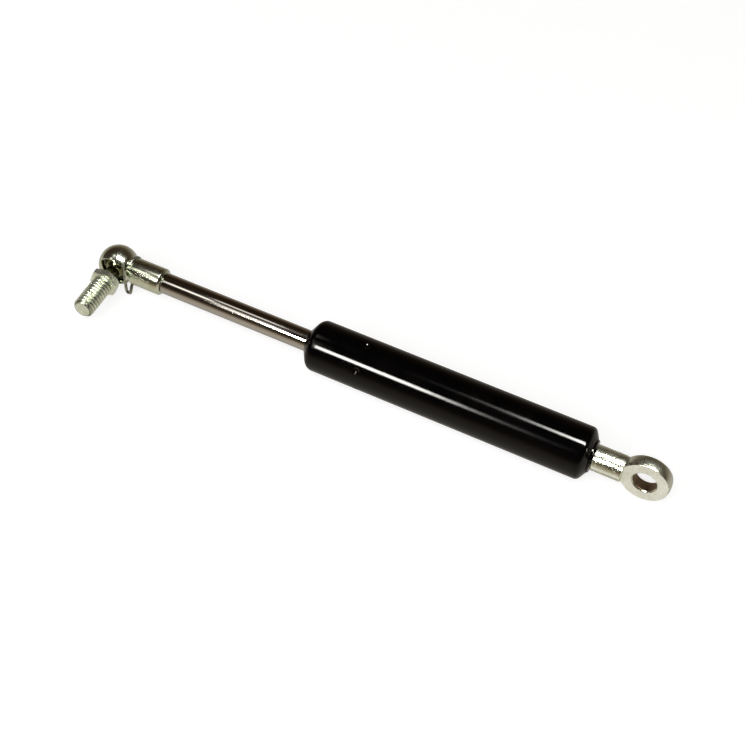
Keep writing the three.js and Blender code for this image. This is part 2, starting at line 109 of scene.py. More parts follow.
# ---- mesh building --------------------------------------------------------------------------
def turned(profile, segments=192, axis="x", closed=False, push=None):
    """A profile of (along, radius) turned about X (along = station) or Y. push moves the radii."""
    rings, vertices = [], []
    angles = 2 * math.pi * np.arange(segments) / segments
    for i, (along, r) in enumerate(profile):
        if r < 1e-9:
            rings.append([len(vertices)])
            vertices.append((along, 0.0, 0.0))
            continue
        radii = np.full(segments, r)
        if push:
            radii = push(along, radii, angles, i)
        rings.append(list(range(len(vertices), len(vertices) + segments)))
        vertices += [(along, q * math.sin(a), q * math.cos(a)) for q, a in zip(radii, angles)]
    pairs = list(zip(rings, rings[1:]))
    if closed:
        pairs.append((rings[-1], rings[0]))
    faces = []
    for low, high in pairs:
        for k in range(segments):
            corners = [low[k % len(low)], low[(k + 1) % len(low)]]
            corners += [high[(k + 1) % len(high)], high[k % len(high)]]
            corners = list(dict.fromkeys(corners))
            if len(corners) > 2:
                faces.append(corners)
    if axis == "x":
        placed = [(-t, u, v) for t, u, v in vertices]
    else:
        placed = [(u, t, v) for t, u, v in vertices]
    return solid(placed, faces)


def solid(vertices, faces):
    """A bmesh in metres with its faces turned outwards."""
    bm = bmesh.new()
    made = [bm.verts.new(Vector(v) * MM) for v in vertices]
    for face in faces:
        bm.faces.new([made[i] for i in face])
    bmesh.ops.recalc_face_normals(bm, faces=bm.faces)
    return bm


def moved(bm, x=0.0, y=0.0, z=0.0):
    bmesh.ops.translate(bm, verts=bm.verts, vec=Vector((x, y, z)) * MM)
    return bm


def block(low, high):
    """A box between two corners, used as a cutter."""
    bm = bmesh.new()
    bmesh.ops.create_cube(bm, size=1.0)
    size = [(b - a) * MM for a, b in zip(low, high)]
    middle = [(a + b) / 2 * MM for a, b in zip(low, high)]
    place = Matrix.Translation(middle) @ Matrix.Diagonal((*size, 1))
    bmesh.ops.transform(bm, matrix=place, verts=bm.verts)
    return bm


def between_outlines(first, second):
    """A solid between two outlines that have the same number of points."""
    n = len(first)
    faces = [tuple(range(n)), tuple(range(2 * n - 1, n - 1, -1))]
    faces += [(k, n + k, n + (k + 1) % n, (k + 1) % n) for k in range(n)]
    return solid([*first, *second], faces)


def prism(outline, low, high):
    """An outline in the XY plane raised along Z, used as a cutter."""
    return between_outlines(*([(x, y, z) for x, y in outline] for z in (low, high)))


def as_object(bm, name):
    mesh = bpy.data.meshes.new(name)
    bm.to_mesh(mesh)
    bm.free()
    made = bpy.data.objects.new(name, mesh)
    bpy.context.scene.collection.objects.link(made)
    return made


def combined(bm, steps):
    """Joins, cuts or intersects a bmesh with others: steps is a list of (operation, bmesh)."""
    body = as_object(bm, "work")
    tools = []
    for operation, tool in steps:
        tools.append(as_object(tool, "tool"))
        modifier = body.modifiers.new("join", "BOOLEAN")
        modifier.operation = operation
        modifier.solver = "MANIFOLD"
        modifier.object = tools[-1]
    bpy.context.view_layer.update()
    graph = bpy.context.evaluated_depsgraph_get()
    result = bmesh.new()
    result.from_object(body, graph)
    for used in [body, *tools]:
        data = used.data
        bpy.data.objects.remove(used)
        bpy.data.meshes.remove(data)
    return result


def piece(name, bm, material, body, node=None, sharp=32.0):
    """Puts a finished mesh into the scene in place of its CAD node."""
    made = as_object(bm, name)
    made.data.shade_smooth()
    made.data.set_sharp_from_angle(angle=math.radians(sharp))
    made.data.materials.append(material)
    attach(made, body)
    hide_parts(node or name)
    return made


# ---- materials ------------------------------------------------------------------------------
def fill_ramp(ramp, stops):
    """Sets a colour ramp node's stops from (position, colour) pairs."""
    elements = ramp.color_ramp.elements
    while len(elements) < len(stops):
        elements.new(0.5)
    for element, (position, colour) in zip(elements, stops):
        element.position, element.color = position, (*colour, 1.0)


class Shader:
    """A Principled material with short calls for its texture nodes."""

    def __init__(self, name, **sockets):
        self.material = bpy.data.materials.new(name)
        self.material.use_nodes = True
        self.tree = self.material.node_tree
        self.surface = self.tree.nodes["Principled BSDF"]
        for socket, value in sockets.items():
            self.surface.inputs[socket.replace("_", " ")].default_value = value
        self.place = self.node("ShaderNodeTexCoord").outputs["Object"]

    def node(self, kind, **values):
        made = self.tree.nodes.new(kind)
        for key, value in values.items():
            setattr(made, key, value)
        return made

    def link(self, source, target):
        self.tree.links.new(source, target)

    def stretched(self, scale):
        """Object coordinates scaled on each axis, in waves per metre."""
        mapping = self.node("ShaderNodeMapping")
        mapping.inputs["Scale"].default_value = scale
        self.link(self.place, mapping.inputs["Vector"])
        return mapping.outputs["Vector"]

    def noise(self, scale, detail=3.0, rough=0.5):
        made = self.node("ShaderNodeTexNoise")
        made.inputs["Scale"].default_value = 1.0
        made.inputs["Detail"].default_value = detail
        made.inputs["Roughness"].default_value = rough
        self.link(self.stretched(scale), made.inputs["Vector"])
        return made.outputs["Fac"]

    def ramp(self, source, stops):
        made = self.node("ShaderNodeValToRGB")
        fill_ramp(made, stops)
        self.link(source, made.inputs["Fac"])
        return made.outputs["Color"]

    def spread(self, source, low, high, start=0.35, end=0.65):
        """Maps a noise value onto a range."""
        made = self.node("ShaderNodeMapRange")
        for socket, value in zip(("From Min", "From Max", "To Min", "To Max"), (start, end, low, high)):
            made.inputs[socket].default_value = value
        self.link(source, made.inputs["Value"])
        return made.outputs["Result"]

    def bump(self, source, height, normal=None):
        """height is in metres."""
        made = self.node("ShaderNodeBump")
        made.inputs["Strength"].default_value = 1.0
        made.inputs["Distance"].default_value = height
        self.link(source, made.inputs["Height"])
        if normal:
            self.link(normal, made.inputs["Normal"])
        return made.outputs["Normal"]

    def tinted(self, colour, share, tint):
        """Multiplies a colour by a tint, by share from 0 to 1."""
        made = self.node("ShaderNodeMixRGB", blend_type="MULTIPLY")
        self.link(share, made.inputs["Fac"])
        self.link(colour, made.inputs["Color1"])
        made.inputs["Color2"].default_value = (*tint, 1.0)
        return made.outputs["Color"]

    def stud_radius(self):
        """Distance from the leaning stud's axis, in metres."""
        mapping = self.node("ShaderNodeMapping", vector_type="TEXTURE")
        mapping.inputs["Location"].default_value = (-LENGTH * MM, 0.0, 0.0)
        mapping.inputs["Rotation"].default_value = (0.0, 0.0, math.radians(STUD_TILT))
        flat = self.node("ShaderNodeVectorMath", operation="MULTIPLY")
        flat.inputs[1].default_value = (1.0, 0.0, 1.0)
        far = self.node("ShaderNodeVectorMath", operation="LENGTH")
        self.link(self.place, mapping.inputs["Vector"])
        self.link(mapping.outputs["Vector"], flat.inputs[0])
        self.link(flat.outputs["Vector"], far.inputs[0])
        return far.outputs["Value"]

    def finish(self, colour=None, roughness=None, normal=None):
        for source, socket in ((colour, "Base Color"), (roughness, "Roughness"), (normal, "Normal")):
            if source:
                self.link(source, self.surface.inputs[socket])
        return self.material


# Waves per metre of the marks on a face turned about X or about Y, and two tints: random freckles, and
# painted shade for the thread's roots.
TURNED_ON_X, TURNED_ON_Y = (2600, 40, 40), (40, 2600, 40)
FRECKLE, THREAD_ROOT_SHADE = (0.62, 0.60, 0.45), (0.10, 0.11, 0.05)


def gloss_paint():
    s = Shader("black_gloss_paint", Metallic=0.0, Specular_IOR_Level=0.28)
    cloud = s.noise((120, 120, 120), 4)
    grain = s.noise((2600, 2600, 2600), 2)
    colour = s.ramp(cloud, [(0.3, (0.0006, 0.0006, 0.0009)), (0.7, (0.0020, 0.0017, 0.0016))])
    rough = s.spread(cloud, 0.06, 0.10)
    peel = s.bump(s.noise((420, 900, 900), 2), 0.000008)
    return s.finish(colour, rough, s.bump(grain, 0.000001, peel))


def chrome():
    s = Shader("hard_chrome", Metallic=1.0)
    streak = s.noise((30, 1500, 1500), 3)
    rings = s.noise((9000, 60, 60), 2)
    colour = s.ramp(streak, [(0.3, (0.58, 0.56, 0.53)), (0.7, (0.66, 0.645, 0.62))])
    rough = s.spread(streak, 0.06, 0.12)
    return s.finish(colour, rough, s.bump(rings, 0.000001))


def zinc(name, metallic, low, high, rough, rings=TURNED_ON_X, roots=False):
    """Bright zinc plate: low and high are the ends of its soft yellow-green mottle, rings is how
    its turning marks run. Its last flag darkens the stud's thread from its crests to its roots: painted
    shade."""
    s = Shader(name, Metallic=metallic)
    mottle = s.noise((210, 210, 210), 3)
    speck = s.noise((1500, 1500, 1500), 2)
    grain = s.noise((3000, 3000, 3000), 3)
    mottled = s.ramp(mottle, [(0.36, low), (0.64, high)])
    colour = s.tinted(mottled, s.spread(speck, 0.0, 0.45, 0.58, 0.70), FRECKLE)
    # Painted shade: the thread grows darker from its crests down to its roots, where shade falls between
    # the turns.
    if roots:
        root, crest = THREAD["r"] - THREAD["depth"], THREAD["r"] - 0.15
        inside = s.spread(s.stud_radius(), 0.0, 1.0, (root - 0.25) * MM, (root - 0.1) * MM)
        root_shade = s.spread(s.stud_radius(), 0.95, 0.0, root * MM, crest * MM)
        both = s.node("ShaderNodeMath", operation="MULTIPLY")
        s.link(inside, both.inputs[0])
        s.link(root_shade, both.inputs[1])
        colour = s.tinted(colour, both.outputs["Value"], THREAD_ROOT_SHADE)
    tool = s.bump(s.noise(rings, 2), 0.0000022)
    return s.finish(colour, s.spread(mottle, *rough), s.bump(grain, 0.0000016, tool))


def steel():
    s = Shader("turned_steel", Metallic=1.0)
    cloud = s.noise((300, 300, 300), 4)
    colour = s.ramp(cloud, [(0.3, (0.38, 0.38, 0.38)), (0.7, (0.55, 0.55, 0.54))])
    return s.finish(colour, s.spread(cloud, 0.25, 0.45), s.bump(s.noise((60, 3000, 3000), 2), 0.000003))


def spring_wire():
    s = Shader("spring_wire", Metallic=1.0)
    cloud = s.noise((500, 500, 500), 4)
    colour = s.ramp(cloud, [(0.3, (0.30, 0.31, 0.27)), (0.7, (0.55, 0.56, 0.49))])
    drawn = s.bump(s.noise((3000, 3000, 3000), 2), 0.000003)
    return s.finish(colour, s.spread(cloud, 0.22, 0.42), drawn)


def brass():
    s = Shader("machined_brass", Metallic=1.0)
    cloud = s.noise((300, 300, 300), 4)
    colour = s.ramp(cloud, [(0.3, (0.56, 0.38, 0.13)), (0.7, (0.76, 0.56, 0.24))])
    return s.finish(colour, s.spread(cloud, 0.22, 0.40), s.bump(s.noise((60, 3000, 3000), 2), 0.000003))


def rubber():
    s = Shader("nitrile_rubber", Metallic=0.0)
    cloud = s.noise((600, 600, 600), 4)
    colour = s.ramp(cloud, [(0.3, (0.010, 0.010, 0.010)), (0.7, (0.022, 0.021, 0.020))])
    return s.finish(colour, s.spread(cloud, 0.5, 0.75), s.bump(s.noise((4000, 4000, 4000), 2), 0.000006))


def lining():
    s = Shader("bearing_lining", Metallic=0.0)
    cloud = s.noise((1200, 1200, 1200), 4)
    colour = s.ramp(cloud, [(0.3, (0.13, 0.12, 0.10)), (0.7, (0.22, 0.20, 0.16))])
    return s.finish(colour, s.spread(cloud, 0.45, 0.7), s.bump(cloud, 0.000006))


def nylon():
    s = Shader("natural_nylon", Metallic=0.0, Subsurface_Weight=0.1)
    cloud = s.noise((900, 900, 900), 4)
    colour = s.ramp(cloud, [(0.3, (0.55, 0.51, 0.40)), (0.7, (0.68, 0.64, 0.53))])
    return s.finish(colour, s.spread(cloud, 0.4, 0.6), s.bump(cloud, 0.000004))


PAINT, CHROME, STEEL, WIRE = gloss_paint(), chrome(), steel(), spring_wire()
ZINC_EYE = zinc("zinc_plate_eyelet", 1.0, (0.82, 0.87, 0.71), (0.93, 0.97, 0.85), (0.24, 0.29))
ZINC_FACE = zinc("zinc_plate_milled", 0.6, (0.85, 0.86, 0.75), (0.96, 0.98, 0.88), (0.30, 0.40))
# The eye's bore is dark brown: partly thin plating and oil inside the hole, partly painted shade of the
# hollow.
BORE_OIL_AND_SHADE = zinc(
    "zinc_bore_oil_and_painted_shade", 0.9, (0.22, 0.14, 0.09), (0.40, 0.30, 0.20), (0.35, 0.5), TURNED_ON_Y
)
ZINC_SOCKET = zinc("zinc_plate_socket", 1.0, (0.78, 0.85, 0.68), (0.92, 0.97, 0.83), (0.13, 0.21))
# The stud's plate has painted shade in its thread roots.
ZINC_STUD = zinc(
    "zinc_plate_stud", 0.85, (0.80, 0.86, 0.70), (0.93, 0.98, 0.85), (0.22, 0.32), TURNED_ON_Y, roots=True
)
# Bare oiled steel for the ball and its neck, made dark partly as painted shade; the cup round the ball
# takes it as painted shade of the hollow.
OILED_STEEL_AND_CUP_SHADE = zinc(
    "oiled_steel_and_painted_cup_shade", 1.0, (0.20, 0.21, 0.12), (0.32, 0.33, 0.21), (0.09, 0.16), TURNED_ON_Y
)
BRASS, RUBBER, LINING, NYLON = brass(), rubber(), lining(), nylon()


# ---- tube side ------------------------------------------------------------------------------
def rolled_end(roll, side, radius):
    """The rounded corner and the cone down to the lip. side is 1 at the rod end, -1 at the rear."""
    corner = arc(roll["station"], TUBE_R - roll["radius"], radius, 90, 90 - side * roll["turn"], 12)
    t, r = corner[-1]
    cone = (r - roll["lip"]) / math.tan(math.radians(roll["turn"]))
    return [*corner, (t + side * cone, roll["lip"], 0.25)]


def pressure_tube():
    """The shell as one closed profile, with fine rings across the row of staking dents."""
    wall = TUBE_R - BORE_R
    band = np.linspace(DENT["station"] - 1.9, DENT["station"] + 1.9, 33)
    outer = [*reversed(rolled_end(REAR_ROLL, -1, REAR_ROLL["radius"]))]
    outer += [(t, TUBE_R) for t in np.linspace(26, 102, 20)] + [(t, TUBE_R) for t in band]
    outer += [(t, TUBE_R) for t in np.linspace(108.5, 122, 4)]
    outer += rolled_end(FRONT_ROLL, 1, FRONT_ROLL["radius"])
    inner = [*reversed(rolled_end(FRONT_ROLL, 1, FRONT_ROLL["radius"] - wall))]
    inner += [(t, BORE_R) for t in reversed(band)]
    inner += rolled_end(REAR_ROLL, -1, REAR_ROLL["radius"] - wall)
    step = math.pi * 2 / DENT["count"]
    ball, above = DENT["ball"], DENT["ball"] - DENT["depth"]
    rim = math.sqrt(ball**2 - above**2)

    def dented(t, radii, angles, _):
        """Presses a ball into the wall at each dent, with a softened rim."""
        away = (angles + step / 2) % step - step / 2
        far = np.hypot(TUBE_R * np.abs(away), t - DENT["station"])
        bowl = np.sqrt(np.clip(ball**2 - far**2, 0, None)) - above
        soft = 0.5 * (bowl + np.sqrt(bowl**2 + DENT["soft"]))
        return radii - np.where(far < rim + 0.5, soft, 0.0)

    return turned(eased(outer + inner), 384, closed=True, push=dented)


def closing_ring():
    return turned(eased([
        (121.7, 6.4), (121.7, 8.15), (123.3, 8.15), (124.2, 7.85), (124.75, 7.3),
        (126.2, 4.95, 0.15), (126.2, 4.4, 0.15), (123.7, 4.4), (123.7, 6.4),
    ]), closed=True)


def wiper_ring():
    return turned(eased([
        (121.85, 4.32), (121.85, 6.3), (123.5, 6.3), (123.5, 4.07, 0.1), (123.0, 4.07, 0.1),
    ]), closed=True)


def end_plug():
    return turned(eased([
        (12.2, 0.0), (12.2, 2.4), (12.7, 2.9), (18.9, 2.9), (18.9, 5.95, 0.4), (21.1, 5.95),
        (21.9, 7.5), (22.35, 7.75), (23.2, 8.15), (25.65, 8.15), (25.65, 6.7), (27.75, 6.7),
        (27.75, 8.15), (29.5, 8.15), (30.0, 7.65), (30.0, 0.0),
    ]))


def eye_disc():
    """The eye itself, turned about Y: ball outside, two flats, chamfered hole."""
    half, hole, chamfer = EYE["half"], EYE["hole"], EYE["chamfer"]
    edge = math.degrees(math.asin(half / EYE["ball"]))
    flat_r = EYE["ball"] * math.cos(math.radians(edge))
    rim = arc(0, 0, EYE["ball"], 90 + edge - 2, 90 - edge + 2, 20)
    return turned(eased([
        (-half, hole + chamfer, 0.12), (-half, flat_r, 0.22), *rim, (half, flat_r, 0.22),
        (half, hole + chamfer, 0.12), (half - chamfer, hole, 0.12), (-half + chamfer, hole, 0.12),
    ]), 224, axis="y", closed=True)


def eye_shank():
    """From just inside the ball, through the fillet, to the tapped end."""
    under = EYE["ball"] - 0.02
    fillet, shank_r = EYE_SHANK["fillet"], EYE_SHANK["r"]
    centre_r = shank_r + fillet
    centre_t = math.sqrt((under + fillet) ** 2 - centre_r**2)
    touch = math.degrees(math.atan2(centre_r, centre_t))
    start = under * math.cos(math.radians(touch + 6))
    return turned(eased([
        (start, 0.0),
        *arc(0, 0, under, touch + 6, touch, 4)[:-1],
        *arc(centre_t, centre_r, fillet, 180 + touch, 270, 12),
        (EYE_SHANK["end"], shank_r, 0.4), (EYE_SHANK["end"], TAPPED_R),
        (EYE_SHANK["tap_end"], TAPPED_R), (EYE_SHANK["tap_end"] - 1.2, 0.0),
    ]))


def mill(side):
    """The cutter for one flat: a straight wall at the step, with a small radius at its foot."""
    face, far, step = side * (EYE["half"] - 0.004), side * 12.0, -EYE["step"]
    return prism(eased([(step, far), (step, face, 0.35), (15.0, face), (15.0, far)], 6), -15.0, 15.0)


def eyelet():
    shank = combined(eye_shank(), [("DIFFERENCE", mill(-1)), ("DIFFERENCE", mill(1))])
    return combined(eye_disc(), [("UNION", shank)])


# ---- rod side -------------------------------------------------------------------------------
def piston_rod():
    return turned(eased([
        (93.2, 0.0), (93.2, 3.6, 0.7), (94.8, 3.6), (94.8, 2.45), (106.7, 2.45), (106.7, ROD_R, 0.3),
        (150.0, ROD_R), (189.0, ROD_R, 0.4), (189.0, STUD_R), (199.2, STUD_R, 0.5), (199.2, 0.0),
    ]), 224)


def socket_head():
    """The ball head turned about Y: sphere, flat mouth, flare, bore, ring groove and cup."""
    depth = MOUTH["depth"]
    edge_r = math.sqrt(HEAD_R**2 - depth**2)
    low = math.degrees(math.asin(depth / HEAD_R))
    top, bottom = -RING["drop"] + RING["half"], -RING["drop"] - RING["half"]
    return moved(turned(eased([
        *arc(0, 0, HEAD_R, 0, 88.5 + low, 60), (-depth, edge_r, 0.12), (-depth, MOUTH["r"], 0.12),
        (-MOUTH["flare_depth"], CUP_R, 0.2), (bottom, CUP_R), (bottom, RING["groove"]),
        (top, RING["groove"]), (top, CUP_R),
        *arc(0, 0, CUP_R, 90, 0, 24),
    ]), 224, axis="y"), x=-LENGTH)


def socket_shank():
    end, r = SOCKET_SHANK["end"], SOCKET_SHANK["r"]
    return turned(eased([
        (end, 0.0), (end, r - SOCKET_SHANK["chamfer"], 0.2), (end + SOCKET_SHANK["chamfer"], r, 0.2),
        (NECK["start"], r, 0.35), (NECK["start"], NECK["r"], 0.12), (203.5, NECK["r"]), (203.35, 0.0),
    ]), 224)


def ball_socket():
    """The head on its shank, with the tapped hole and the clip's slot cut out."""
    mouth, bottom = SOCKET_SHANK["end"] - 1.3, SOCKET_SHANK["tap_end"]
    tap = turned([(mouth, 0.0), (mouth, TAPPED_R), (bottom, TAPPED_R), (bottom, 0.0)], 96)
    leg, slot = -CLIP["leg"], CLIP["slot"]
    notch = block((leg - slot, -12.0, -15.0), (leg + slot, CLIP["leg_y"] + slot, 15.0))
    steps = [("UNION", socket_shank()), ("DIFFERENCE", tap), ("DIFFERENCE", notch)]
    return combined(socket_head(), steps)


def retaining_ring():
    section = arc(-RING["drop"], RING["major"], RING["wire"], 0, 345, 23)
    return moved(turned(section, 160, axis="y", closed=True), x=-LENGTH)


def smooth_path(points, per_span=8):
    """A centripetal Catmull-Rom path through the points."""
    p = np.array(points, float)
    p = np.vstack([2 * p[0] - p[1], p, 2 * p[-1] - p[-2]])
    out = []
    for i in range(len(p) - 3):
        a, b, c, d = p[i : i + 4]
        t0 = 0.0
        t1 = t0 + np.linalg.norm(b - a) ** 0.5
        t2 = t1 + np.linalg.norm(c - b) ** 0.5
        t3 = t2 + np.linalg.norm(d - c) ** 0.5
        for t in np.linspace(t1, t2, per_span, endpoint=False):
            ab = (t1 - t) / (t1 - t0) * a + (t - t0) / (t1 - t0) * b
            bc = (t2 - t) / (t2 - t1) * b + (t - t1) / (t2 - t1) * c
            cd = (t3 - t) / (t3 - t2) * c + (t - t2) / (t3 - t2) * d
            abc = (t2 - t) / (t2 - t0) * ab + (t - t0) / (t2 - t0) * bc
            bcd = (t3 - t) / (t3 - t1) * bc + (t - t1) / (t3 - t1) * cd
            out.append((t2 - t) / (t2 - t1) * abc + (t - t1) / (t2 - t1) * bcd)
    return np.array([*out, p[-2]])


def wire(path, r, sides=20):
    """A round wire along a path, its cut ends slightly rounded."""
    tangents = np.gradient(path, axis=0)
    tangents /= np.linalg.norm(tangents, axis=1)[:, None]
    side = np.cross(tangents[0], (0.3, 0.9, 0.2))
    rings, vertices, faces = [], [], []
    stations = [(path[0], tangents[0], 0.7), *((q, t, 1.0) for q, t in zip(path, tangents))]
    stations[1] = (path[0] + tangents[0] * 0.3 * r, tangents[0], 1.0)
    stations[-1] = (path[-1] - tangents[-1] * 0.3 * r, tangents[-1], 1.0)
    stations.append((path[-1], tangents[-1], 0.7))
    for centre, tangent, scale in stations:
        side = side - tangent * (side @ tangent)
        side /= np.linalg.norm(side)
        other = np.cross(tangent, side)
        rings.append(list(range(len(vertices), len(vertices) + sides)))
        for a in 2 * math.pi * np.arange(sides) / sides:
            vertices.append(tuple(centre + r * scale * (math.cos(a) * side + math.sin(a) * other)))
    for low, high in zip(rings, rings[1:]):
        for k in range(sides):
            n = (k + 1) % sides
            faces.append((low[k], low[n], high[n], high[k]))
    faces += [tuple(reversed(rings[0])), tuple(rings[-1])]
    return solid(vertices, faces)


def safety_clip():
    """Down beside the ball, round the pull loop and up round the neck."""
    leg, wrap, y = -CLIP["leg"], -CLIP["wrap"], CLIP["leg_y"]
    points = [(leg, y, 6.3), (leg, y, 3), (leg, y, -3), (leg, y, -6.3), (leg + 0.05, y, -7.8)]
    points += [(leg + 0.3, y, -8.8), (leg + 0.95, y, -9.2), (wrap - 0.2, y, -8.9)]
    points += [(wrap + 0.15, y, -8.0), (wrap + 0.15, -3.0, -7.0), (wrap, -2.2, -6.1)]
    for a in np.radians(np.arange(-2, 213, 13)):
        points.append((wrap, CLIP["wrap_r"] * math.sin(a), -CLIP["wrap_r"] * math.cos(a)))
    return wire(smooth_path(points), CLIP["wire"])


def screw(tip, root):
    """A right-hand screw about Y that runs past both ends. Its rows climb one pitch a turn, and each
    end is closed by a fan to a point on the axis."""
    columns, climb = 120, 12
    last = columns - 1
    pitch = THREAD["pitch"]
    wave = np.arange(climb) / climb
    ridge = np.clip(1.25 * (1.0 - 2.0 * np.abs(wave - 0.5)) - 0.12, 0, 1)
    radius = THREAD["r"] - THREAD["depth"] * (1 - ridge)
    rows = int((root - tip) / pitch + 3) * climb
    bottom = tip - 1.5 * pitch
    vertices = []
    for row in range(rows + 1):
        for column in range(columns):
            turn = column / columns
            y, r = bottom + pitch * (row / climb + turn), radius[row % climb]
            vertices.append((r * math.sin(2 * math.pi * turn), y, r * math.cos(2 * math.pi * turn)))

    def at(row, column):
        return row * columns + column

    faces = []
    for row in range(rows):
        for k in range(last):
            faces.append((at(row, k), at(row, k + 1), at(row + 1, k + 1), at(row + 1, k)))
    for row in range(rows - climb):
        faces.append((at(row, last), at(row + climb, 0), at(row + climb + 1, 0), at(row + 1, last)))
    low = [at(0, c) for c in range(columns)] + [at(climb - s, 0) for s in range(climb)]
    high = [at(rows, last - c) for c in range(columns)]
    high += [at(rows - climb + s, last) for s in range(climb)]
    for loop, y in ((low, bottom - 2 * pitch), (high, root + 5 * pitch)):
        vertices.append((0.0, y, 0.0))
        apex = len(vertices) - 1
        faces += [(apex, loop[(i + 1) % len(loop)], loop[i]) for i in range(len(loop))]
    return solid(vertices, faces)


def threaded_shank():
    """The screw, cut to length with a chamfered tip, and the plain shoulder next to the collar."""
    tip, root, over = -THREAD["end"], -HEX["outer"] + 0.5, THREAD["r"] + 0.02
    outline = turned([
        (tip, 0.0), (tip, over - THREAD["chamfer"]), (tip + THREAD["chamfer"], over),
        (root, over), (root, 0.0),
    ], 160, axis="y")
    shoulder_end = -HEX["outer"] - THREAD["shoulder"]
    shoulder = turned(eased([
        (shoulder_end, 0.0), (shoulder_end, over, 0.2), (root, over), (root, 0.0),
    ]), 160, axis="y")
    return combined(screw(tip, root), [("INTERSECT", outline), ("UNION", shoulder)])


def hex_collar():
    """The thin spanner hexagon: eased corners, and both faces bevelled by a turned cone."""
    across = HEX["flats"] / math.cos(math.pi / 6)
    turn = math.radians(90 + HEX["turn"])
    eased_r = across / 2 - 0.1 * (1 + 3 * HEX_EASE)
    outline = []
    for k in range(6):
        a = turn + k * math.pi / 3
        outline += [(eased_r, a - HEX_EASE), (across / 2, a), (eased_r, a + HEX_EASE)]
    ends = (-HEX["outer"], -HEX["inner"])
    rings = [[(r * math.sin(a), y, r * math.cos(a)) for r, a in outline] for y in ends]
    face_r = HEX["flats"] / 2 - 0.1
    corner_r = across / 2 + 0.05
    cone = turned([
        (ends[0] - 0.01, 0.0), (ends[0] - 0.01, face_r), (ends[0] + HEX_BEVEL, corner_r),
        (ends[1] - HEX_BEVEL, corner_r), (ends[1] + 0.01, face_r), (ends[1] + 0.01, 0.0),
    ], 192, axis="y")
    return combined(between_outlines(*rings), [("INTERSECT", cone)])


def ball_stud():
    """Ball and neck, hexagon and threaded shank in one, leaning towards the eye."""
    neck = 180 - math.degrees(math.asin(BALL_NECK["r"] / BALL_R))
    flare, foot = BALL_NECK["flare"], -HEX["inner"] - 0.6
    body = turned(eased([
        *arc(0, 0, BALL_R, 0, neck, 60), (-BALL_NECK["end"], BALL_NECK["r"]),
        (-HEX["inner"], flare), (foot, flare), (foot, 0.0),
    ]), 160, axis="y")
    whole = combined(body, [("UNION", hex_collar()), ("UNION", threaded_shank())])
    lean = Matrix.Rotation(math.radians(STUD_TILT), 4, "Z")
    place = Matrix.Translation((-LENGTH * MM, 0, 0)) @ lean
    bmesh.ops.transform(whole, matrix=place, verts=whole.verts)
    return whole


# ---- the pieces -----------------------------------------------------------------------------
def second_look(made, material, holds):
    """Gives the faces for which holds(face) is true another material of their own."""
    made.data.materials.append(material)
    index = len(made.data.materials) - 1
    for face in made.data.polygons:
        if holds(face):
            face.material_index = index


def in_eye_hole(face):
    return math.hypot(face.center.x, face.center.z) < (EYE["hole"] + 0.05) * MM


def on_milled_face(face):
    return abs(face.normal.y) > 0.99 and not in_eye_hole(face)


# The cup round the ball: these faces take painted shade.
def inside_socket(face):
    out = face.center - BALL_AT
    near_axis = math.hypot(out.x, out.z) < (RING["groove"] + 0.05) * MM
    return near_axis and out.length < (HEAD_R - 0.8) * MM


def on_ball(face):
    return (face.center - BALL_AT).length < (HEX["inner"] - 0.1) * MM


BALL_AT = Vector((-LENGTH * MM, 0.0, 0.0))
piece("painted_pressure_tube", pressure_tube(), PAINT, "cylinder", "pressure_tube")
piece("turned_closing_ring", closing_ring(), STEEL, "cylinder", "closing_ring")
piece("rubber_wiper_ring", wiper_ring(), RUBBER, "cylinder", "wiper_ring")
piece("black_end_plug", end_plug(), PAINT, "cylinder", "end_plug")
eye = piece("plated_eyelet", eyelet(), ZINC_EYE, "cylinder", "eyelet")
# Dark bore: partly plating and oil, partly painted shade.
second_look(eye, BORE_OIL_AND_SHADE, in_eye_hole)
second_look(eye, ZINC_FACE, on_milled_face)
piece("chromed_piston_rod", piston_rod(), CHROME, "rod", "piston_rod")
socket = piece("plated_ball_socket", ball_socket(), ZINC_SOCKET, "rod", "ball_socket")
# The cup round the ball gets the dark ball steel as painted shade.
second_look(socket, OILED_STEEL_AND_CUP_SHADE, inside_socket)
piece("wire_safety_clip", safety_clip(), WIRE, "rod", "safety_clip")
piece("ball_retaining_wire", retaining_ring(), WIRE, "ball_seat", "ball_retaining_ring")
stud = piece("plated_ball_stud", ball_stud(), ZINC_STUD, "stud", "ball_stud")
# The ball and its neck get the dark oiled steel, partly painted shade.
second_look(stud, OILED_STEEL_AND_CUP_SHADE, on_ball)

INNER = {
    "rod_guide": BRASS, "piston": BRASS, "guide_bush": LINING, "piston_ring": NYLON,
    "guide_o_ring": RUBBER, "end_plug_o_ring": RUBBER, "rod_seal": RUBBER,
    "seal_support_washer": STEEL, "stop_collar": STEEL, "labyrinth_disc": STEEL,
    "piston_washer": STEEL,
}
for node, material in INNER.items():
    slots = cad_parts[node].data.materials
    slots.clear()
    slots.append(material)


# ---- studio ---------------------------------------------------------------------------------
def stage_plane(name, centre, size, turn, material):
    """A stage rectangle: size is (width, depth) in metres."""
    mesh = bpy.data.meshes.new(name)
    w, d = size[0] / 2, size[1] / 2
    mesh.from_pydata([(-w, -d, 0), (w, -d, 0), (w, d, 0), (-w, d, 0)], [], [(0, 1, 2, 3)])
    made = bpy.data.objects.new(name, mesh)
    made.location, made.rotation_euler = centre, turn
    mesh.materials.append(material)
    bpy.context.scene.collection.objects.link(made)
    return made


def floor_material():
    s = Shader("pale_floor", Roughness=0.9)
    s.surface.inputs["Emission Strength"].default_value = 0.80
    s.surface.inputs["Emission Color"].default_value = (1.0, 1.0, 1.0, 1.0)
    cloud = s.noise((3, 3, 3), 2)
    return s.finish(s.ramp(cloud, [(0.0, (0.34, 0.34, 0.34)), (1.0, (0.38, 0.38, 0.38))]))


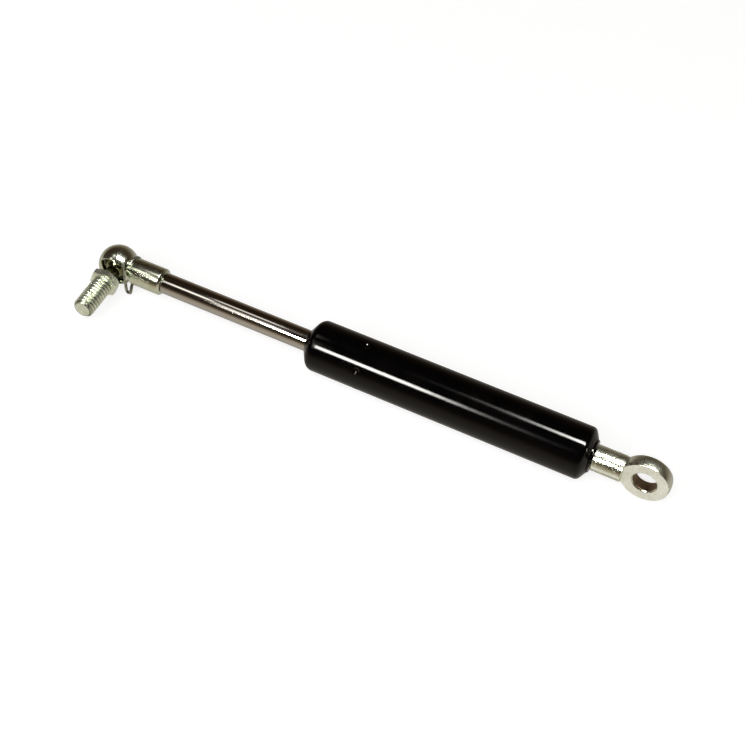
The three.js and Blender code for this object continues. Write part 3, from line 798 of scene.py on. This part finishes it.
floor_at = (-0.1, 0.0, CAD_BOX[0][2] - 0.0002)
floor = stage_plane("floor", floor_at, (8.0, 8.0), (0, 0, 0), floor_material())
floor.visible_glossy = False


def graded(tree, source, stops):
    """A brightness ramp: stops are (share of the lamp's length or width, brightness)."""
    ramp = tree.nodes.new("ShaderNodeValToRGB")
    fill_ramp(ramp, [(position, (level, level, level)) for position, level in stops])
    tree.links.new(source, ramp.inputs["Fac"])
    return ramp.outputs["Color"]


SOFT_EDGES = ((0.0, 0.0), (0.25, 0.75), (0.4, 1.0), (0.6, 1.0), (0.75, 0.75), (1.0, 0.0))
LAMP_WHITE = (1.0, 0.985, 0.93)


def lamp(name, angle, distance, width, strength, along, across=SOFT_EDGES, colour=LAMP_WHITE):
    """A long lamp parallel to the strut. angle is measured in the YZ plane from +Y up over the top,
    along is its brightness at X positions from end to end, and across is over its width."""
    material = bpy.data.materials.new(name)
    material.use_nodes = True
    tree = material.node_tree
    tree.nodes.clear()
    out = tree.nodes.new("ShaderNodeOutputMaterial")
    glow = tree.nodes.new("ShaderNodeEmission")
    place = tree.nodes.new("ShaderNodeTexCoord")
    split = tree.nodes.new("ShaderNodeSeparateXYZ")
    both = tree.nodes.new("ShaderNodeMath")
    scale = tree.nodes.new("ShaderNodeMath")
    both.operation = scale.operation = "MULTIPLY"
    scale.inputs[1].default_value = strength
    tree.links.new(place.outputs["Generated"], split.inputs[0])
    start, end = along[0][0], along[-1][0]
    shares = [((x - start) / (end - start), level) for x, level in along]
    tree.links.new(graded(tree, split.outputs["X"], shares), both.inputs[0])
    tree.links.new(graded(tree, split.outputs["Y"], across), both.inputs[1])
    tree.links.new(both.outputs[0], scale.inputs[0])
    tree.links.new(scale.outputs[0], glow.inputs["Strength"])
    glow.inputs["Color"].default_value = (*colour, 1.0)
    tree.links.new(glow.outputs[0], out.inputs["Surface"])
    a = math.radians(angle)
    centre = ((start + end) / 2, distance * math.cos(a), distance * math.sin(a))
    made = stage_plane(name, centre, (end - start, width), (a + math.pi / 2, 0, 0), material)
    made.visible_camera = False
    made.visible_diffuse = False
    made.visible_shadow = False
    return made


FRONT_FADE = (
    (-0.545, 0.0), (-0.525, 1.0), (-0.40, 1.0), (-0.369, 0.76), (-0.353, 0.45), (-0.334, 0.30),
    (-0.319, 0.15), (-0.288, 0.065), (-0.273, 0.028), (-0.238, 0.012), (-0.18, 0.0),
)
TOP_FADE = (
    (-0.38, 0.0), (-0.319, 0.010), (-0.288, 0.027), (-0.258, 0.065), (-0.238, 0.12), (-0.223, 0.25),
    (-0.208, 0.38), (-0.193, 0.56), (-0.177, 0.78), (-0.16, 0.95), (-0.14, 1.0), (0.5, 1.0), (0.9, 0.0),
)
FAR_SPAN = ((-0.79, 0.0), (-0.775, 1.0), (-0.545, 1.0), (-0.53, 0.0))
LEFT_SPAN = ((-1.1, 0.0), (-0.95, 1.0), (-0.80, 1.0), (-0.79, 0.0))
FAR_EDGES = ((0.0, 0.0), (0.3, 0.45), (0.42, 1.0), (0.62, 0.85), (0.8, 0.5), (1.0, 0.0))
lamp("long_lamp_front", 140, 1.2, 0.33, 60.0, FRONT_FADE)
lamp("long_lamp_top", 93.5, 1.2, 0.30, 60.0, TOP_FADE)
lamp("far_panel_front", 134, 1.25, 0.95, 1.7, FAR_SPAN, FAR_EDGES, (1.0, 0.93, 0.83))
lamp("far_strip_top", 94.5, 1.25, 0.40, 1.25, FAR_SPAN, colour=(1.0, 0.95, 0.87))
lamp("far_panel_left", 119, 1.25, 0.55, 1.9, LEFT_SPAN, colour=(1.0, 0.97, 0.88))


def soft_light(name, place, size, power):
    """A square area light aimed at the strut's middle, unseen in reflections. power is in watts."""
    data = bpy.data.lights.new(name, "AREA")
    data.shape, data.size, data.energy = "SQUARE", size, power
    made = bpy.data.objects.new(name, data)
    made.location = place
    aim = Vector((-0.1, 0.0, 0.0)) - Vector(place)
    made.rotation_euler = aim.to_track_quat("-Z", "Y").to_euler()
    made.visible_glossy = False
    bpy.context.scene.collection.objects.link(made)


soft_light("front_softbox", (-0.1, -0.95, 1.05), 1.4, 20.0)


# Colour of the room round the strut, by degrees in the YZ plane from +Y up over the top: 90 is
# overhead and -90 is straight down.
ROOM = (
    (-180, (0.10, 0.075, 0.048)), (-166, (0.35, 0.29, 0.22)), (-153, (0.47, 0.42, 0.34)),
    (-122, (0.52, 0.475, 0.41)), (-98, (0.42, 0.39, 0.345)), (-60, (0.42, 0.40, 0.36)),
    (-30, (0.38, 0.355, 0.32)), (-9, (0.29, 0.255, 0.22)), (15, (0.10, 0.075, 0.05)),
    (32, (0.048, 0.030, 0.016)), (47, (0.018, 0.010, 0.005)), (73, (0.025, 0.016, 0.008)),
    (90, (0.020, 0.014, 0.010)), (160, (0.020, 0.014, 0.010)), (171, (0.05, 0.036, 0.02)),
    (180, (0.10, 0.075, 0.048)),
)


def studio_world():
    """The room as reflections see it, and a plain pale backdrop for the camera."""
    world = bpy.data.worlds.new("studio")
    bpy.context.scene.world = world
    world.use_nodes = True
    tree = world.node_tree
    tree.nodes.clear()
    new, link = tree.nodes.new, tree.links.new
    out = new("ShaderNodeOutputWorld")
    place = new("ShaderNodeTexCoord")
    split = new("ShaderNodeSeparateXYZ")
    angle = new("ShaderNodeMath")
    angle.operation = "ARCTAN2"
    share = new("ShaderNodeMapRange")
    share.inputs["From Min"].default_value = -math.pi
    share.inputs["From Max"].default_value = math.pi
    ramp = new("ShaderNodeValToRGB")
    room, backdrop = new("ShaderNodeBackground"), new("ShaderNodeBackground")
    choose, rays = new("ShaderNodeMixShader"), new("ShaderNodeLightPath")
    fill_ramp(ramp, [((degrees + 180) / 360, colour) for degrees, colour in ROOM])
    link(place.outputs["Generated"], split.inputs[0])
    link(split.outputs["Z"], angle.inputs[0])
    link(split.outputs["Y"], angle.inputs[1])
    link(angle.outputs[0], share.inputs["Value"])
    link(share.outputs["Result"], ramp.inputs["Fac"])
    link(ramp.outputs["Color"], room.inputs["Color"])
    backdrop.inputs["Color"].default_value = (0.95, 0.95, 0.95, 1.0)
    link(rays.outputs["Is Camera Ray"], choose.inputs["Fac"])
    link(room.outputs[0], choose.inputs[1])
    link(backdrop.outputs[0], choose.inputs[2])
    link(choose.outputs[0], out.inputs["Surface"])


studio_world()

# ---- camera ---------------------------------------------------------------------------------
CAMERA_AT = Vector((0.03402, -0.30150, 0.36906))
CAMERA_FORWARD = Vector((-0.27406, 0.60544, -0.74721))
CAMERA_UP = Vector((-0.36216, 0.65479, 0.66339))
lens = bpy.data.cameras.new("camera")
lens.lens, lens.sensor_width = 67.56, 36.0
lens.clip_start, lens.clip_end = 0.01, 20.0
camera = bpy.data.objects.new("camera", lens)
right = CAMERA_FORWARD.cross(CAMERA_UP).normalized()
up = right.cross(CAMERA_FORWARD).normalized()
turn = Matrix((right, up, -CAMERA_FORWARD)).transposed().to_4x4()
camera.matrix_world = Matrix.Translation(CAMERA_AT) @ turn
bpy.context.scene.collection.objects.link(camera)
bpy.context.scene.camera = camera
bpy.context.scene.view_settings.view_transform = "Standard"
